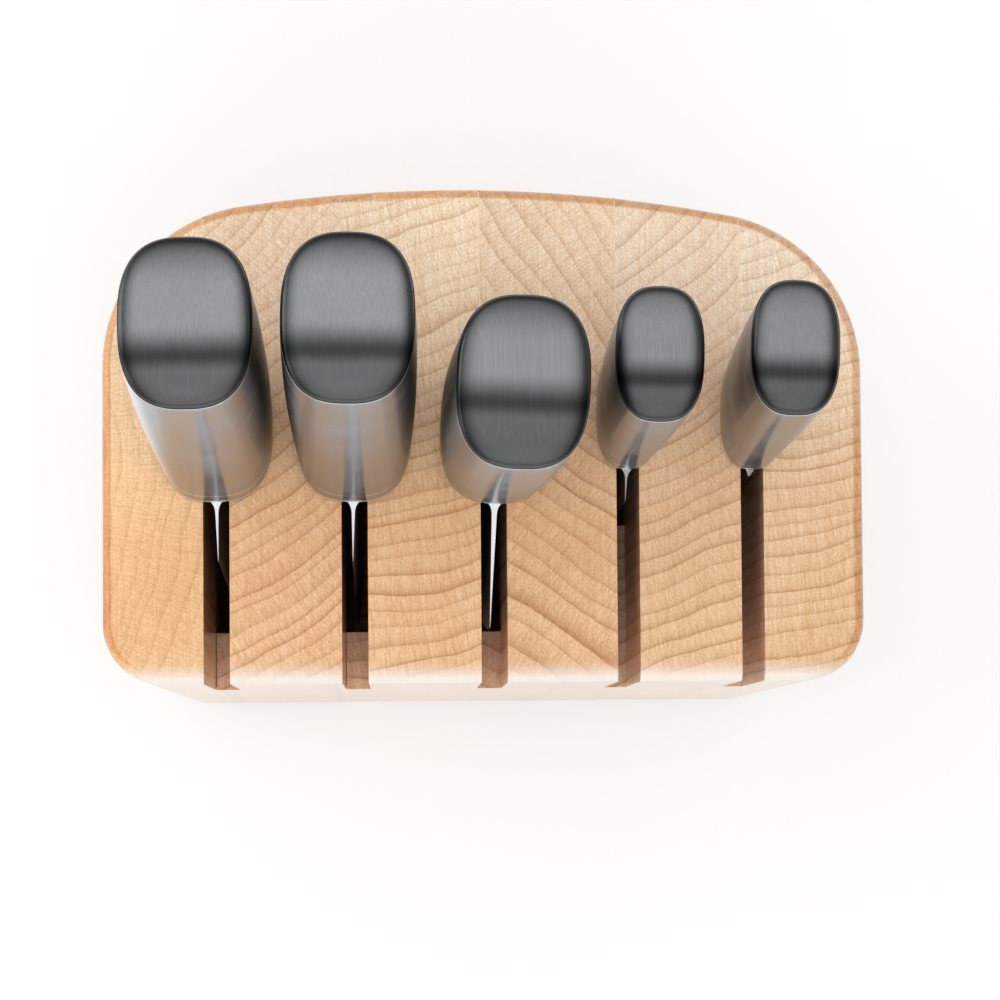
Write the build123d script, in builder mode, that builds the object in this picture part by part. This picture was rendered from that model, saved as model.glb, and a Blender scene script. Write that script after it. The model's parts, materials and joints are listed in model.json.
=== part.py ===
"""Knife block with five all-steel knives.

A lacquered beech block, glued up from six upright staves, holds five knives in open
slots.  Each slot is a pocket milled into the left face of one stave, open at the top and,
over its first stretch, at the front.  Every knife is a blade with a tang, a bolster, a
hollow handle and an end cap, and it hangs in its slot by the shoulder of its handle.

Units are millimetres.  +Z is up, +Y is the back of the block, +X is to the right, and the
origin is on the table under the middle of the block.
"""

import os
from dataclasses import dataclass
from math import copysign, cos, pi, radians, sin

from build123d import *

# Staves, from left to right, and the glue between them
edge_stave = 20.8
bread_stave = 28.2
carving_stave = 28.4
chef_stave = 27.8
utility_stave = 25.4
paring_stave = 25.1
glue_thickness = 0.2

# Outline of the block
block_depth = 102.0
back_radius = 300.0
bow_shift = -6.0
back_corner_radius = 33.5
front_corner_radius = 12.5
top_edge_radius = 2.6
base_bevel = 1.2

# Slots
large_slot_width = 5.4
small_slot_width = 4.7
mouth_depth = 60.0
slot_corner_radius = 4.0
slot_back_clearance = 2.4
slot_front_clearance = 1.4
tip_clearance = 8.0
slot_floor = 20.0

# Feet and their screws
foot_diameter = 12.0
foot_proud = 2.0
foot_recess = 2.0
foot_front_inset = 14.0
foot_back_inset = 31.0
screw_diameter = 3.0
screw_length = 14.0
screw_head_diameter = 5.6
screw_head_height = 1.4
screw_head_depth = 0.4
fit_clearance = 0.08

# Handles of the three large knives
large_handle_length = 116.5
large_shoulder_width = 23.4
large_shoulder_depth = 30.8
large_end_width = 24.2
large_end_depth = 31.4
large_swell = 0.7

# Handles of the two small knives
small_handle_length = 93.5
small_shoulder_width = 12.8
small_shoulder_depth = 24.0
small_end_width = 16.5
small_end_depth = 25.3
small_swell = 0.5

# What all handles share
handle_wall = 1.2
handle_rim = 0.35
oval_power = 2.65
flange_thickness = 1.2
flange_bevel = 0.4
plug_height = 6.0
cap_seat = 2.6
cap_crown = 2.2
cap_edge_radius = 2.0
seat_gap = 0.25

# Blades
large_blade_thickness = 2.2
small_blade_thickness = 1.8
large_neck_thickness = 2.4
small_neck_thickness = 2.0
tip_thickness = 0.8
edge_thickness = 0.35
tip_width = 1.0
large_heel_drop = 5.0
small_heel_drop = 4.0
neck_inset = 2.5
tang_width = 10.0
large_tang_length = 70.0
small_tang_length = 55.0
scallop_pitch = 7.5
scallop_radius = 5.0
scallop_depth = 1.0

# Bread knife
bread_blade_length = 190.0
bread_edge_reach = 11.6
bread_spine_inset = 6.6
bread_tip_drop = 24.0
bread_edge_power = 14.0
bread_spine_power = 8.0
bread_set_back = 1.6
bread_lean_back = 4.6
bread_lean_right = -0.2
bread_shift_right = 0.0
bread_turn = 0.7

# Carving knife
carving_blade_length = 200.0
carving_edge_reach = 11.5
carving_spine_inset = 7.5
carving_tip_drop = 12.0
carving_edge_power = 5.0
carving_spine_power = 3.0
carving_set_back = 1.4
carving_lean_back = 5.1
carving_lean_right = 0.1
carving_shift_right = 0.0
carving_turn = -0.8

# Chef's knife
chef_blade_length = 155.0
chef_edge_reach = 25.4
chef_spine_inset = 5.5
chef_tip_drop = 9.0
chef_edge_power = 2.2
chef_spine_power = 3.0
chef_set_back = 1.1
chef_lean_back = -0.5
chef_lean_right = 1.05
chef_shift_right = 0.8
chef_turn = -2.2

# Utility knife
utility_blade_length = 125.0
utility_edge_reach = 6.4
utility_spine_inset = 4.4
utility_tip_drop = 8.0
utility_edge_power = 3.5
utility_spine_power = 3.0
utility_set_back = 4.6
utility_lean_back = 1.6
utility_lean_right = 0.7
utility_shift_right = 0.0
utility_turn = -1.2

# Paring knife
paring_blade_length = 90.0
paring_edge_reach = 1.0
paring_spine_inset = 5.0
paring_tip_drop = 9.0
paring_edge_power = 3.0
paring_spine_power = 3.0
paring_set_back = 4.4
paring_lean_back = 2.35
paring_lean_right = 0.35
paring_shift_right = 0.0
paring_turn = -1.7

# Levels and faces that follow, with a block tall enough for the longest blade
longest_blade = max(
    bread_blade_length, carving_blade_length, chef_blade_length, utility_blade_length, paring_blade_length
)
block_height = longest_blade + tip_clearance + slot_floor
wood_bottom = foot_proud
wood_top = wood_bottom + block_height
front_face = -block_depth / 2
stave_thicknesses = (edge_stave, bread_stave, carving_stave, chef_stave, utility_stave, paring_stave)
block_width = sum(stave_thicknesses) + glue_thickness * (len(stave_thicknesses) - 1)
overcut = block_depth

# Counts of points along a curve
oval_points = 32
blade_sections = 10
section_crowding = 1.7
edge_samples = 60


@dataclass
class Handle:
    """Sizes of one handle, hollow and swelling a little between its two ends."""

    length: float
    shoulder_width: float
    shoulder_depth: float
    end_width: float
    end_depth: float
    swell: float

    def sections(self, inset):
        """Height, width and depth of the three ovals that the handle runs through."""
        middle_width = (self.shoulder_width + self.end_width) / 2 + 2 * self.swell
        middle_depth = (self.shoulder_depth + self.end_depth) / 2
        middle_height = (flange_thickness + self.length) / 2
        return (
            (flange_thickness, self.shoulder_width - 2 * inset, self.shoulder_depth - 2 * inset),
            (middle_height, middle_width - 2 * inset, middle_depth - 2 * inset),
            (self.length, self.end_width - 2 * inset, self.end_depth - 2 * inset),
        )


@dataclass
class Knife:
    """Sizes of one knife and how it stands in its slot."""

    name: str
    handle: Handle
    stave: int
    slot_width: float
    blade_length: float
    thickness: float
    neck_thickness: float
    heel_drop: float
    tang_length: float
    edge_reach: float
    spine_inset: float
    tip_drop: float
    edge_power: float
    spine_power: float
    set_back: float
    lean_back: float
    lean_right: float
    shift_right: float
    turn: float

    @property
    def spine(self):
        """Place of the spine behind the handle's axis."""
        return self.handle.shoulder_depth / 2 - self.spine_inset

    @property
    def edge(self):
        """Place of the cutting edge at the heel, in front of the handle's axis."""
        return -self.handle.shoulder_depth / 2 - self.edge_reach

    @property
    def seat(self):
        """Plane of the shoulder, with Z along the handle and the cutting edge towards -Y."""
        lift = self.handle.shoulder_depth / 2 * sin(radians(abs(self.lean_back)))
        lift += self.handle.shoulder_width / 2 * sin(radians(abs(self.lean_right)))
        slot_middle = stave_left(self.stave) - glue_thickness + self.slot_width / 2
        place = (slot_middle + self.shift_right, self.set_back, wood_top + seat_gap + lift)
        return Plane(place).rotated((-self.lean_back, self.lean_right, self.turn))

    @property
    def blade_plane(self):
        """Plane of the flat of the blade, with X towards the spine and Y along the handle."""
        return Plane(self.seat.origin, x_dir=self.seat.y_dir, z_dir=self.seat.x_dir)

    def edge_at(self, along):
        """Cutting edge at a share of the way from the heel to the tip."""
        rise = self.spine - self.tip_drop - tip_width / 2 - self.edge
        return self.edge + rise * along**self.edge_power

    def spine_at(self, along):
        """Spine at a share of the way from the heel to the tip."""
        return self.spine - (self.tip_drop - tip_width / 2) * along**self.spine_power

    def depth_at(self, along):
        """Depth under the shoulder at a share of the way from the heel to the tip."""
        return self.heel_drop + (self.blade_length - self.heel_drop) * along

    def reach(self):
        """Most forward place of the leaning edge below the open mouth of its slot."""
        places = []
        for step in range(edge_samples + 1):
            along = step / edge_samples
            point = self.seat.from_local_coords(Vector(0, self.edge_at(along), -self.depth_at(along)))
            if point.Z < wood_top - mouth_depth:
                places.append(point.Y)
        return min(places)


def stave_left(index):
    """Left face of a stave, counted from zero at the left side of the block."""
    return -block_width / 2 + sum(stave_thicknesses[:index]) + glue_thickness * index


large_handle = Handle(
    large_handle_length,
    large_shoulder_width,
    large_shoulder_depth,
    large_end_width,
    large_end_depth,
    large_swell,
)
small_handle = Handle(
    small_handle_length,
    small_shoulder_width,
    small_shoulder_depth,
    small_end_width,
    small_end_depth,
    small_swell,
)


def large_knife(name, stave, blade_length, *shape):
    """A knife with a large handle."""
    blank = (large_blade_thickness, large_neck_thickness, large_heel_drop, large_tang_length)
    return Knife(name, large_handle, stave, large_slot_width, blade_length, *blank, *shape)


def small_knife(name, stave, blade_length, *shape):
    """A knife with a small handle."""
    blank = (small_blade_thickness, small_neck_thickness, small_heel_drop, small_tang_length)
    return Knife(name, small_handle, stave, small_slot_width, blade_length, *blank, *shape)


bread = large_knife(
    "bread",
    1,
    bread_blade_length,
    bread_edge_reach,
    bread_spine_inset,
    bread_tip_drop,
    bread_edge_power,
    bread_spine_power,
    bread_set_back,
    bread_lean_back,
    bread_lean_right,
    bread_shift_right,
    bread_turn,
)
carving = large_knife(
    "carving",
    2,
    carving_blade_length,
    carving_edge_reach,
    carving_spine_inset,
    carving_tip_drop,
    carving_edge_power,
    carving_spine_power,
    carving_set_back,
    carving_lean_back,
    carving_lean_right,
    carving_shift_right,
    carving_turn,
)
chef = large_knife(
    "chef",
    3,
    chef_blade_length,
    chef_edge_reach,
    chef_spine_inset,
    chef_tip_drop,
    chef_edge_power,
    chef_spine_power,
    chef_set_back,
    chef_lean_back,
    chef_lean_right,
    chef_shift_right,
    chef_turn,
)
utility = small_knife(
    "utility",
    4,
    utility_blade_length,
    utility_edge_reach,
    utility_spine_inset,
    utility_tip_drop,
    utility_edge_power,
    utility_spine_power,
    utility_set_back,
    utility_lean_back,
    utility_lean_right,
    utility_shift_right,
    utility_turn,
)
paring = small_knife(
    "paring",
    5,
    paring_blade_length,
    paring_edge_reach,
    paring_spine_inset,
    paring_tip_drop,
    paring_edge_power,
    paring_spine_power,
    paring_set_back,
    paring_lean_back,
    paring_lean_right,
    paring_shift_right,
    paring_turn,
)
large_knives = (bread, carving, chef)
small_knives = (utility, paring)
knives = large_knives + small_knives

# The three large slots share one front wall, as the longest reach among them needs
large_pocket_front = min(knife.reach() for knife in large_knives) - slot_front_clearance


def pocket_front(knife):
    """Front end of the closed part of a knife's slot."""
    if knife in large_knives:
        return large_pocket_front
    return knife.reach() - slot_front_clearance


def pocket_back(knife):
    """Back end of a knife's slot."""
    return knife.set_back + knife.spine + slot_back_clearance


def pocket_floor(knife):
    """Level of the bottom of a knife's slot."""
    return wood_top - knife.blade_length - tip_clearance


def oval(width, depth):
    """Points of a closed oval with bowed sides and rounded corners."""
    points = []
    for step in range(oval_points):
        turn = 2 * pi * step / oval_points
        across = copysign(abs(cos(turn)) ** (2 / oval_power), cos(turn))
        along = copysign(abs(sin(turn)) ** (2 / oval_power), sin(turn))
        points.append((width / 2 * across, depth / 2 * along))
    return points


# Middles of the two outer staves, where the feet sit, and the feet's places on the base
left_foot_line = stave_left(0) + edge_stave / 2
right_foot_line = stave_left(len(stave_thicknesses) - 1) + paring_stave / 2
foot_front_line = front_face + foot_front_inset
foot_back_line = block_depth / 2 - foot_back_inset
foot_places = [
    (line, row) for line in (left_foot_line, right_foot_line) for row in (foot_front_line, foot_back_line)
]


def make_slab(label, left, right, knife, pocket_width):
    """One upright slice of the block, with the part of a slot that lies in it."""
    half_width = block_width / 2
    bow_middle = block_depth / 2 - back_radius
    back_left = bow_middle + (back_radius**2 - (half_width + bow_shift) ** 2) ** 0.5
    back_right = bow_middle + (back_radius**2 - (half_width - bow_shift) ** 2) ** 0.5
    with BuildPart() as slab:
        with BuildSketch(Plane.XY.offset(wood_bottom)) as outline:
            with BuildLine():
                Polyline(
                    (-half_width, back_left),
                    (-half_width, front_face),
                    (half_width, front_face),
                    (half_width, back_right),
                )
                ThreePointArc(
                    (half_width, back_right), (bow_shift, block_depth / 2), (-half_width, back_left)
                )
            make_face()
            corners = outline.vertices().group_by(Axis.Y)
            fillet(corners[0], front_corner_radius)
            fillet(outline.vertices().sort_by(Axis.Y)[-2:], back_corner_radius)
        extrude(amount=block_height)
        fillet(slab.faces().sort_by(Axis.Z)[-1].edges(), top_edge_radius)
        chamfer(slab.faces().sort_by(Axis.Z)[0].edges(), base_bevel)
        with BuildSketch(Plane.XY.offset(wood_bottom)):
            with Locations(((left + right) / 2, 0)):
                Rectangle(right - left, 2 * block_depth)
        extrude(amount=block_height, mode=Mode.INTERSECT)
        if knife:
            with BuildSketch(Plane.YZ.offset(left)) as pocket:
                with BuildLine():
                    Polyline(
                        (front_face - overcut, wood_top - mouth_depth),
                        (front_face - overcut, wood_top + overcut),
                        (pocket_back(knife), wood_top + overcut),
                        (pocket_back(knife), pocket_floor(knife)),
                        (pocket_front(knife), pocket_floor(knife)),
                        (pocket_front(knife), wood_top - mouth_depth),
                        close=True,
                    )
                make_face()
                fillet(pocket.vertices().group_by(Axis.Y)[0], slot_corner_radius)
            extrude(amount=pocket_width, mode=Mode.SUBTRACT)
        for line, row in foot_places:
            if left < line < right:
                with BuildSketch(Plane.XY.offset(wood_bottom)):
                    with Locations((line, row)):
                        Circle(foot_diameter / 2 + fit_clearance)
                extrude(amount=foot_recess, mode=Mode.SUBTRACT)
                with BuildSketch(Plane.XY.offset(wood_bottom + foot_recess)):
                    with Locations((line, row)):
                        Circle(screw_diameter / 2 + fit_clearance)
                extrude(amount=screw_length, mode=Mode.SUBTRACT)
    slab.part.label = label
    export_step(slab.part, f"parts/{label}.step")


def make_feet():
    """Four rubber feet, half sunk in the base, each bored for its screw."""
    with BuildPart() as feet:
        with BuildSketch():
            with Locations(foot_places):
                Circle(foot_diameter / 2)
        extrude(amount=foot_proud + foot_recess)
        with BuildSketch():
            with Locations(foot_places):
                Circle(screw_head_diameter / 2 + fit_clearance)
        extrude(amount=screw_head_depth + screw_head_height, mode=Mode.SUBTRACT)
        with BuildSketch():
            with Locations(foot_places):
                Circle(screw_diameter / 2 + fit_clearance)
        extrude(amount=foot_proud + foot_recess, mode=Mode.SUBTRACT)
    feet.part.label = "rubber_feet"
    export_step(feet.part, "parts/rubber_feet.step")


def make_screws():
    """Four pan-head screws that hold the feet."""
    with BuildPart() as screws:
        with BuildSketch(Plane.XY.offset(screw_head_depth)):
            with Locations(foot_places):
                Circle(screw_head_diameter / 2)
        extrude(amount=screw_head_height)
        with BuildSketch(Plane.XY.offset(screw_head_depth + screw_head_height)):
            with Locations(foot_places):
                Circle(screw_diameter / 2)
        extrude(amount=screw_length)
    screws.part.label = "foot_screws"
    export_step(screws.part, "parts/foot_screws.step")


def make_blade(knife):
    """Blade ground from spine to edge, with its heel, its neck and the tang in the handle."""
    half_neck = knife.neck_thickness / 2
    half_blade = knife.thickness / 2
    half_edge = edge_thickness / 2
    half_tip = tip_thickness / 2
    neck_front = -knife.handle.shoulder_depth / 2 + neck_inset
    taper = (neck_front - knife.edge) / (knife.spine - knife.edge)
    half_front = half_edge + (half_neck - half_edge) * taper
    with BuildPart() as blade:
        for step in range(blade_sections + 1):
            along = 1 - (1 - step / blade_sections) ** section_crowding
            half_spine = half_blade + (half_tip - half_blade) * along
            with BuildSketch(knife.seat.offset(-knife.depth_at(along))):
                with BuildLine():
                    Polyline(
                        (-half_spine, knife.spine_at(along)),
                        (half_spine, knife.spine_at(along)),
                        (half_edge, knife.edge_at(along)),
                        (-half_edge, knife.edge_at(along)),
                        close=True,
                    )
                make_face()
        loft()
        with BuildSketch(knife.seat.offset(-knife.heel_drop)):
            with BuildLine():
                Polyline(
                    (-half_blade, knife.spine),
                    (half_blade, knife.spine),
                    (half_edge, knife.edge),
                    (-half_edge, knife.edge),
                    close=True,
                )
            make_face()
        with BuildSketch(knife.seat):
            with BuildLine():
                Polyline(
                    (-half_neck, knife.spine),
                    (half_neck, knife.spine),
                    (half_front, neck_front),
                    (-half_front, neck_front),
                    close=True,
                )
            make_face()
        loft(ruled=True)
        with BuildSketch(knife.seat):
            Rectangle(knife.thickness, tang_width)
        extrude(amount=knife.tang_length)
        if knife is bread:
            first = knife.heel_drop + scallop_pitch
            last = knife.blade_length - knife.handle.shoulder_depth
            count = int((last - first) / scallop_pitch)
            scallop_line = knife.edge + scallop_depth - scallop_radius
            with BuildSketch(knife.blade_plane):
                with Locations([(scallop_line, -first - scallop_pitch * step) for step in range(count)]):
                    Circle(scallop_radius)
            extrude(amount=knife.thickness, both=True, mode=Mode.SUBTRACT)
    label = f"{knife.name}_blade"
    blade.part.label = label
    export_step(blade.part, f"parts/{label}.step")


def make_bolster(knife):
    """Flange that closes the lower end of the handle, with a plug inside and a tang slot."""
    handle = knife.handle
    plug_width = handle.shoulder_width - 2 * (handle_wall + fit_clearance)
    plug_depth = handle.shoulder_depth - 2 * (handle_wall + fit_clearance)
    with BuildPart() as bolster:
        with BuildSketch(knife.seat):
            with BuildLine():
                Spline(*oval(handle.shoulder_width, handle.shoulder_depth), periodic=True)
            make_face()
        extrude(amount=flange_thickness)
        chamfer(bolster.faces().sort_by(Axis(knife.seat.origin, knife.seat.z_dir))[0].edges(), flange_bevel)
        with BuildSketch(knife.seat.offset(flange_thickness)):
            with BuildLine():
                Spline(*oval(plug_width, plug_depth), periodic=True)
            make_face()
        extrude(amount=plug_height)
        with BuildSketch(knife.seat):
            Rectangle(knife.thickness + 2 * fit_clearance, tang_width + 2 * fit_clearance)
        extrude(amount=flange_thickness + plug_height, mode=Mode.SUBTRACT)
    label = f"{knife.name}_bolster"
    bolster.part.label = label
    export_step(bolster.part, f"parts/{label}.step")


def make_handle(knife):
    """Hollow handle shell, stepped at its upper end to a thin rim around the end cap."""
    handle = knife.handle
    with BuildPart() as shell:
        for height, width, depth in handle.sections(0):
            with BuildSketch(knife.seat.offset(height)):
                with BuildLine():
                    Spline(*oval(width, depth), periodic=True)
                make_face()
        loft()
        for height, width, depth in handle.sections(handle_wall):
            with BuildSketch(knife.seat.offset(height)):
                with BuildLine():
                    Spline(*oval(width, depth), periodic=True)
                make_face()
        loft(mode=Mode.SUBTRACT)
        recess_width = handle.end_width - 2 * handle_rim
        recess_depth = handle.end_depth - 2 * handle_rim
        with BuildSketch(knife.seat.offset(handle.length - cap_seat)):
            with BuildLine():
                Spline(*oval(recess_width, recess_depth), periodic=True)
            make_face()
        extrude(amount=cap_seat, mode=Mode.SUBTRACT)
    label = f"{knife.name}_handle"
    shell.part.label = label
    export_step(shell.part, f"parts/{label}.step")


def make_end_cap(knife):
    """Crowned plate that closes the upper end of the handle inside its rim."""
    handle = knife.handle
    cap_width = handle.end_width - 2 * (handle_rim + fit_clearance)
    cap_depth = handle.end_depth - 2 * (handle_rim + fit_clearance)
    with BuildPart() as cap:
        with BuildSketch(knife.seat.offset(handle.length - cap_seat)):
            with BuildLine():
                Spline(*oval(cap_width, cap_depth), periodic=True)
            make_face()
        extrude(amount=cap_seat + cap_crown)
        top = cap.faces().sort_by(Axis(knife.seat.origin, knife.seat.z_dir))[-1]
        fillet(top.edges(), cap_edge_radius)
    label = f"{knife.name}_end_cap"
    cap.part.label = label
    export_step(cap.part, f"parts/{label}.step")


os.makedirs("parts", exist_ok=True)
slot_of_stave = {knife.stave: knife for knife in knives}
for index, thickness in enumerate(stave_thicknesses):
    left = stave_left(index)
    knife = slot_of_stave.get(index)
    if knife:
        film = f"glue_line_{index}"
        make_slab(film, left - glue_thickness, left, knife, glue_thickness)
        make_slab(f"stave_{index + 1}", left, left + thickness, knife, knife.slot_width - glue_thickness)
    else:
        make_slab(f"stave_{index + 1}", left, left + thickness, None, 0)
make_feet()
make_screws()
for knife in knives:
    make_blade(knife)
    make_bolster(knife)
    make_handle(knife)
    make_end_cap(knife)
    seat = knife.seat
    print(knife.name, "seat", tuple(seat.origin), "axis", tuple(seat.z_dir))
    print(knife.name, "pocket", pocket_front(knife), pocket_back(knife), pocket_floor(knife))
print("block", block_width, block_depth, wood_top, "feet", foot_places)
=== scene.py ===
# %% [markdown]
# # A knife block with five steel knives
# The block is lacquered beech, glued up from six upright staves, and the knives stand in slots that open
# at the top and at the front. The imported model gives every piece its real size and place. This lesson
# dresses it: the staves keep their solids and get wood that is worked out in three dimensions, while
# handles, end caps and blades are drawn again as fine numpy surfaces that fill the same space.

# %% Load the frame
import bmesh
import bpy
import json
import numpy as np
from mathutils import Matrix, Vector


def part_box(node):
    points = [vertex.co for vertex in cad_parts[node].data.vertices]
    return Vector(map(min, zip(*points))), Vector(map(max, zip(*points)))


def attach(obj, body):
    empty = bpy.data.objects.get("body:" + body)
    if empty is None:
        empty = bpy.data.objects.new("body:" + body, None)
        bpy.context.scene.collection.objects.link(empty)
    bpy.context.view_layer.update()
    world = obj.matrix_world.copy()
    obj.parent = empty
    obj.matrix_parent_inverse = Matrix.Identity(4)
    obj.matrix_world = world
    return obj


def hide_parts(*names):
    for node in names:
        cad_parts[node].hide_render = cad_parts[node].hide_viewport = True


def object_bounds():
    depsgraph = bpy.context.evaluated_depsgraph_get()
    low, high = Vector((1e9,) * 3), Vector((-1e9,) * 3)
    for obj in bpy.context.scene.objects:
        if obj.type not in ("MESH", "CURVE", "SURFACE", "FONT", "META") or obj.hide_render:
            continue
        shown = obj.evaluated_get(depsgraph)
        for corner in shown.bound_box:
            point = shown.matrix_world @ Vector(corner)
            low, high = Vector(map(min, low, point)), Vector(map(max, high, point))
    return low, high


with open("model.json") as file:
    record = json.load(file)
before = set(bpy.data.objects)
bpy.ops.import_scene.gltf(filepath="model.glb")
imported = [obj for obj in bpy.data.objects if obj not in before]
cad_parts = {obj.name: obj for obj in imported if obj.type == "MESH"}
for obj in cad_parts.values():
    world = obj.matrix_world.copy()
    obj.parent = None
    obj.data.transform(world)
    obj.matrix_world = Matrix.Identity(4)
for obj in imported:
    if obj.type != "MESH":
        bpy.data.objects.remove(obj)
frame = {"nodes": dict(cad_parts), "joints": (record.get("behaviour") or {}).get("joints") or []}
cad_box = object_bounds()
nodes = frame["nodes"]
MM = 0.001

# %% [markdown]
# ## Where each knife stands
# A knife leans a little in its slot, so its pieces are drawn in its own axes: Z along the handle, Y
# towards the spine. The slide joint gives the axis, and the bolster's solid gives the place of the
# shoulder: its lowest level along that axis, and its middle across it. Only the small turn of each knife
# about its own axis, in degrees, is written down here.

# %% The knives' own axes
KNIFE_NAMES = ("bread", "carving", "chef", "utility", "paring")
TURNS = {"bread": 0.7, "carving": -0.8, "chef": -2.2, "utility": -1.2, "paring": -1.7}


def points_of(mesh):
    """All the points of a mesh, as rows of x, y and z in metres."""
    points = np.empty(len(mesh.vertices) * 3)
    mesh.vertices.foreach_get("co", points)
    return points.reshape(-1, 3)


def knife_axes(name):
    """Origin at the shoulder and a 3 by 3 matrix whose rows are the knife's X, Y and Z."""
    joint = next(j for j in frame["joints"] if j["child"] == f"{name}_knife")
    up = np.array(joint["axis"], float)
    up /= np.linalg.norm(up)
    back = np.cross(up, (1.0, 0.0, 0.0))
    back /= np.linalg.norm(back)
    side = np.cross(back, up)
    turn = np.radians(TURNS[name])
    turned_side = np.cos(turn) * side + np.sin(turn) * back
    turned_back = np.cos(turn) * back - np.sin(turn) * side
    axes = np.stack([turned_side, turned_back, up])
    local = points_of(nodes[f"{name}_bolster"].data) @ axes.T
    low, high = local.min(axis=0), local.max(axis=0)
    middle = np.array([(low[0] + high[0]) / 2, (low[1] + high[1]) / 2, low[2]])
    return middle @ axes, axes


knife_frames = {name: knife_axes(name) for name in KNIFE_NAMES}
for name, (origin, axes) in knife_frames.items():
    print(name, "shoulder at", (origin / MM).round(2), "axis", axes[2].round(4))

# %% [markdown]
# ## Surfaces from grids
# Every new piece is a grid of points: each row is a closed ring round the piece, and the rows follow one
# another along it. Quads join the neighbours, both ends are closed, and the doubled points at a pole are
# merged. All the points are computed at once, as numpy arrays.

# %% Grid helper
MERGE = 1e-7


def ringed_piece(name, rings, loop=False):
    """A mesh through rings of points, an array of rows, columns and xyz.
    Columns always wrap round; rows wrap too if loop is set, and otherwise both ends are capped."""
    rows, columns = rings.shape[:2]
    index = np.arange(rows * columns).reshape(rows, columns)
    index = np.concatenate([index, index[:, :1]], axis=1)
    if loop:
        index = np.concatenate([index, index[:1]], axis=0)
    quads = np.stack([index[:-1, :-1], index[:-1, 1:], index[1:, 1:], index[1:, :-1]], axis=-1).reshape(-1, 4)
    faces = quads.tolist()
    if not loop:
        faces += [index[0, :-1][::-1].tolist(), index[-1, :-1].tolist()]
    mesh = bpy.data.meshes.new(name)
    mesh.from_pydata(rings.reshape(-1, 3), [], faces)
    work = bmesh.new()
    work.from_mesh(mesh)
    bmesh.ops.remove_doubles(work, verts=work.verts, dist=MERGE)
    bmesh.ops.recalc_face_normals(work, faces=work.faces)
    work.to_mesh(mesh)
    work.free()
    mesh.shade_smooth()
    piece = bpy.data.objects.new(name, mesh)
    bpy.context.scene.collection.objects.link(piece)
    return piece


def in_world(knife, points):
    """Points in a knife's own axes, in millimetres, put in their place in metres."""
    origin, axes = knife_frames[knife]
    return points * MM @ axes + origin


def local_corners(piece, knife):
    """The points of a piece at its face corners, back in the knife's own axes and in millimetres."""
    mesh = piece.data
    corners = np.empty(len(mesh.loops), dtype=np.int32)
    mesh.loops.foreach_get("vertex_index", corners)
    origin, axes = knife_frames[knife]
    return ((points_of(mesh) - origin) @ axes.T / MM)[corners]


def write_uv(piece, across, along):
    """A UV map from one value of U and one of V at every face corner."""
    layer = piece.data.uv_layers.new(name="UVMap")
    layer.data.foreach_set("uv", np.stack([across, along], axis=-1).ravel())


# %% [markdown]
# ## Handles
# The handle is a hollow steel shell, oval in section, which swells a little between its shoulder and its
# end. The oval is a superellipse: bowed sides and soft corners from one power. Along the handle its width
# and depth follow a parabola through three sections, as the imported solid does. Sizes are in millimetres.

# %% Handle sizes
OVAL_POWER = 2.65
FLANGE = 1.2
WALL = 1.2
RIM = 0.16
CAP_SEAT = 2.6
CAP_CROWN = 2.2
OVAL_COLUMNS = 144
HANDLE_ROWS = 60
RIM_ROWS = 9
LARGE = dict(length=116.5, shoulder=(23.4, 30.8), end=(24.2, 31.4), swell=0.7)
SMALL = dict(length=93.5, shoulder=(12.8, 24.0), end=(16.5, 25.3), swell=0.5)
HANDLES = {name: (SMALL if name in ("utility", "paring") else LARGE) for name in KNIFE_NAMES}


def oval_ring(width, depth, height):
    """Rings of a superellipse: x and y are the half sizes times the cosine and sine, each to the power
    two over OVAL_POWER. Sizes and heights may be arrays, one entry for each ring."""
    width, depth, height = np.broadcast_arrays(*np.atleast_1d(width, depth, height))
    turn = np.linspace(0, 2 * np.pi, OVAL_COLUMNS, endpoint=False)
    across = np.sign(np.cos(turn)) * np.abs(np.cos(turn)) ** (2 / OVAL_POWER)
    along = np.sign(np.sin(turn)) * np.abs(np.sin(turn)) ** (2 / OVAL_POWER)
    x = width[:, None] / 2 * across
    y = depth[:, None] / 2 * along
    return np.stack([x, y, np.broadcast_to(height[:, None], x.shape)], axis=-1)


def handle_size(handle, height):
    """Width and depth of a handle at heights above its shoulder, on the parabola through three sections."""
    share = (np.asarray(height, float) - FLANGE) / (handle["length"] - FLANGE)
    width = handle["shoulder"][0] + (handle["end"][0] - handle["shoulder"][0]) * share
    width = width + 8 * handle["swell"] * share * (1 - share)
    depth = handle["shoulder"][1] + (handle["end"][1] - handle["shoulder"][1]) * share
    return width, depth


def make_handle(name):
    """Outer wall up, over the rounded rim, down to the cap's seat, and down the inner wall."""
    handle = HANDLES[name]
    top = handle["length"]
    round_over = RIM / 2
    bend = np.linspace(0, np.pi, RIM_ROWS)
    outer = np.linspace(FLANGE, top - round_over, HANDLE_ROWS)
    heights = np.concatenate([
        outer, top - round_over + round_over * np.sin(bend[1:-1]), [top - round_over, top - CAP_SEAT],
        [top - CAP_SEAT, FLANGE],
    ])
    insets = np.concatenate([
        np.zeros(outer.size), round_over - round_over * np.cos(bend[1:-1]), [RIM, RIM], [WALL, WALL],
    ])
    width, depth = handle_size(handle, heights)
    rings = oval_ring(width - 2 * insets, depth - 2 * insets, heights)
    piece = ringed_piece(f"{name}_handle_shell", in_world(name, rings), loop=True)
    local = local_corners(piece, name)
    around = np.arctan2(local[:, 1], local[:, 0]) / (2 * np.pi) + 0.5
    write_uv(piece, local[:, 2] / top, around)
    return piece


# %% [markdown]
# A piece belongs to the body that it moves with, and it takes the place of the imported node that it
# redraws. The shells ride on their knives' bodies, so a knife that is drawn from its slot takes its handle
# along.

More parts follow.
